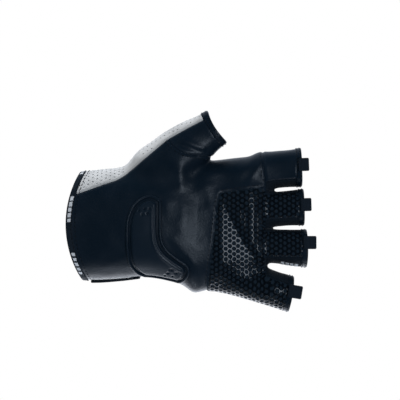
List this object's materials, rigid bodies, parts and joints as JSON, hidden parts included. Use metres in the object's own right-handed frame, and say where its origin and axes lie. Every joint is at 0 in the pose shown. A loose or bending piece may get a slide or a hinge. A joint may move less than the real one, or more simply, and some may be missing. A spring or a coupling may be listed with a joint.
{
  "type": "short-finger motorcycle glove",
  "caption": "Left-hand short-finger riding glove: leather palm and back, honeycomb grip panel, heel pad, bound wrist with strap, open stalls with pull tabs.",
  "frame": {"origin": "middle of the wrist opening", "axes": "+X along the fingers, +Z to the thumb side, the palm faces -Y"},
  "size_m": [0.1677, 0.0519, 0.1363],
  "materials": {
    "black_leather": "smooth black goat leather with a soft sheen",
    "light_leather": "light grey perforated leather",
    "grip_fabric": "black fabric with a light honeycomb print",
    "black_knit": "black stretch knit",
    "side_knit": "dark grey ribbed knit",
    "pad_rubber": "matt moulded rubber",
    "webbing": "black woven elastic and nylon tape"
  },
  "bodies": {
    "root": {"palm_leather": "black_leather", "thumb_leather": "black_leather", "index_leather": "black_leather", "grip_fabric": "grip_fabric", "index_middle_side": "side_knit", "middle_ring_side": "side_knit", "ring_little_side": "side_knit", "index_back": "black_knit", "middle_back": "black_knit", "ring_back": "black_knit", "little_back": "black_knit", "back_leather": "light_leather", "cuff_binding": "webbing", "thumb_hem": "black_leather", "index_hem": "black_leather", "middle_hem": "black_leather", "ring_hem": "black_leather", "little_hem": "black_leather", "pad_rim": "pad_rubber", "palm_pad": "pad_rubber", "wrist_strap": "webbing", "index_tab": "webbing", "middle_tab": "webbing", "ring_tab": "webbing", "little_tab": "webbing"}
  },
  "joints": []
}
